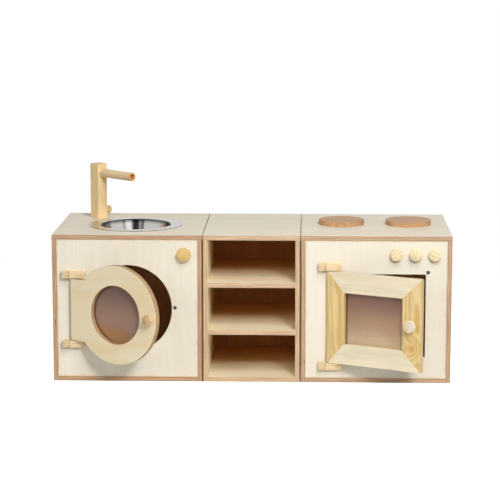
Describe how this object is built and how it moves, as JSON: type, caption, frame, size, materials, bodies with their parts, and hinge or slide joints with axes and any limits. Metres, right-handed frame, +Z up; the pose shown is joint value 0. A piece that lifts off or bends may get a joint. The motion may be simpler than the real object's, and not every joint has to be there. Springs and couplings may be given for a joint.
{
  "type": "toy kitchen",
  "caption": "Low wooden toy kitchen of plywood cabinets: a washing machine with sink and tap, open shelves and an oven with hob discs, with hinged doors and turning dials.",
  "frame": {"origin": "on the floor, at the middle of the middle cabinet's underside", "axes": "+X to the right as seen from the front, +Y to the back, +Z up"},
  "size_m": [1.1936, 0.6372, 0.618],
  "materials": {
    "birch_plywood": "clear matt lacquer",
    "pine": "clear satin lacquer",
    "turned_wood": "clear satin lacquer",
    "steel_sink": "polished",
    "clear_acrylic": "clear",
    "black_magnet": "matt",
    "zinc_steel": "zinc plated"
  },
  "bodies": {
    "cabinets": {"catch_screws": "zinc_steel", "dowels": "turned_wood", "hinge_pins": "zinc_steel", "hinge_plugs": "turned_wood", "left_hob_disc": "birch_plywood", "lower_shelf": "birch_plywood", "oven_back": "birch_plywood", "oven_bottom": "birch_plywood", "oven_catch_magnet": "black_magnet", "oven_counter": "birch_plywood", "oven_front": "birch_plywood", "oven_left_side": "birch_plywood", "oven_lower_hinge_arm": "turned_wood", "oven_lower_hinge_block": "turned_wood", "oven_right_side": "birch_plywood", "oven_upper_hinge_arm": "turned_wood", "oven_upper_hinge_block": "turned_wood", "right_hob_disc": "birch_plywood", "shelf_back": "birch_plywood", "shelf_bottom": "birch_plywood", "shelf_counter": "birch_plywood", "shelf_left_side": "birch_plywood", "shelf_right_side": "birch_plywood", "upper_shelf": "birch_plywood", "washer_back": "birch_plywood", "washer_bottom": "birch_plywood", "washer_catch_magnet": "black_magnet", "washer_counter": "birch_plywood", "washer_front": "birch_plywood", "washer_left_side": "birch_plywood", "washer_lower_hinge_arm": "turned_wood", "washer_lower_hinge_block": "turned_wood", "washer_right_side": "birch_plywood", "washer_upper_hinge_arm": "turned_wood", "washer_upper_hinge_block": "turned_wood"},
    "washer_door": {"washer_door": "birch_plywood", "washer_door_pane": "clear_acrylic", "washer_door_knob": "turned_wood", "washer_door_strike": "zinc_steel"},
    "oven_door": {"oven_door_bottom_rail": "pine", "oven_door_knob": "turned_wood", "oven_door_left_rail": "pine", "oven_door_pane": "clear_acrylic", "oven_door_right_rail": "pine", "oven_door_strike": "zinc_steel", "oven_door_top_rail": "pine"},
    "washer_dial": {"washer_dial": "turned_wood", "washer_dial_spindle": "turned_wood"},
    "oven_left_dial": {"oven_left_dial": "turned_wood", "oven_left_dial_spindle": "turned_wood"},
    "oven_middle_dial": {"oven_middle_dial": "turned_wood", "oven_middle_dial_spindle": "turned_wood"},
    "oven_right_dial": {"oven_right_dial": "turned_wood", "oven_right_dial_spindle": "turned_wood"},
    "tap": {"tap_post": "turned_wood", "tap_dowel": "turned_wood", "tap_spout": "turned_wood"},
    "tap_handle": {"tap_handle": "turned_wood", "tap_handle_spindle": "turned_wood"},
    "sink_bowl": {"sink_bowl": "steel_sink"}
  },
  "joints": [
    {"name": "washer_door_hinge", "type": "hinge", "parent": "cabinets", "child": "washer_door", "pos_m": [-0.5328, -0.233, 0.2215], "axis": [0, 0, -1], "range_deg": [-31, 89]},
    {"name": "oven_door_hinge", "type": "hinge", "parent": "cabinets", "child": "oven_door", "pos_m": [0.2333, -0.233, 0.20325], "axis": [0, 0, -1], "range_deg": [-26.5, 93.5]},
    {"name": "washer_dial_turn", "type": "hinge", "parent": "cabinets", "child": "washer_dial", "pos_m": [-0.2013, -0.223, 0.388], "axis": [0, -1, 0], "continuous": true},
    {"name": "oven_left_dial_turn", "type": "hinge", "parent": "cabinets", "child": "oven_left_dial", "pos_m": [0.4308, -0.223, 0.391], "axis": [0, -1, 0], "continuous": true},
    {"name": "oven_middle_dial_turn", "type": "hinge", "parent": "cabinets", "child": "oven_middle_dial", "pos_m": [0.4878, -0.223, 0.391], "axis": [0, -1, 0], "continuous": true},
    {"name": "oven_right_dial_turn", "type": "hinge", "parent": "cabinets", "child": "oven_right_dial", "pos_m": [0.5448, -0.223, 0.391], "axis": [0, -1, 0], "continuous": true},
    {"name": "tap_swivel", "type": "hinge", "parent": "cabinets", "child": "tap", "pos_m": [-0.4933, 0.132, 0.446], "axis": [0, 0, 1], "range_deg": [-35, 35]},
    {"name": "tap_handle_turn", "type": "hinge", "parent": "tap", "child": "tap_handle", "pos_m": [-0.4804, 0.1449, 0.468], "axis": [0.7071, 0.7071, 0], "continuous": true},
    {"name": "sink_bowl_lift", "type": "slide", "parent": "cabinets", "child": "sink_bowl", "axis": [0, 0, 1], "range_m": [0, 0.115]}
  ]
}
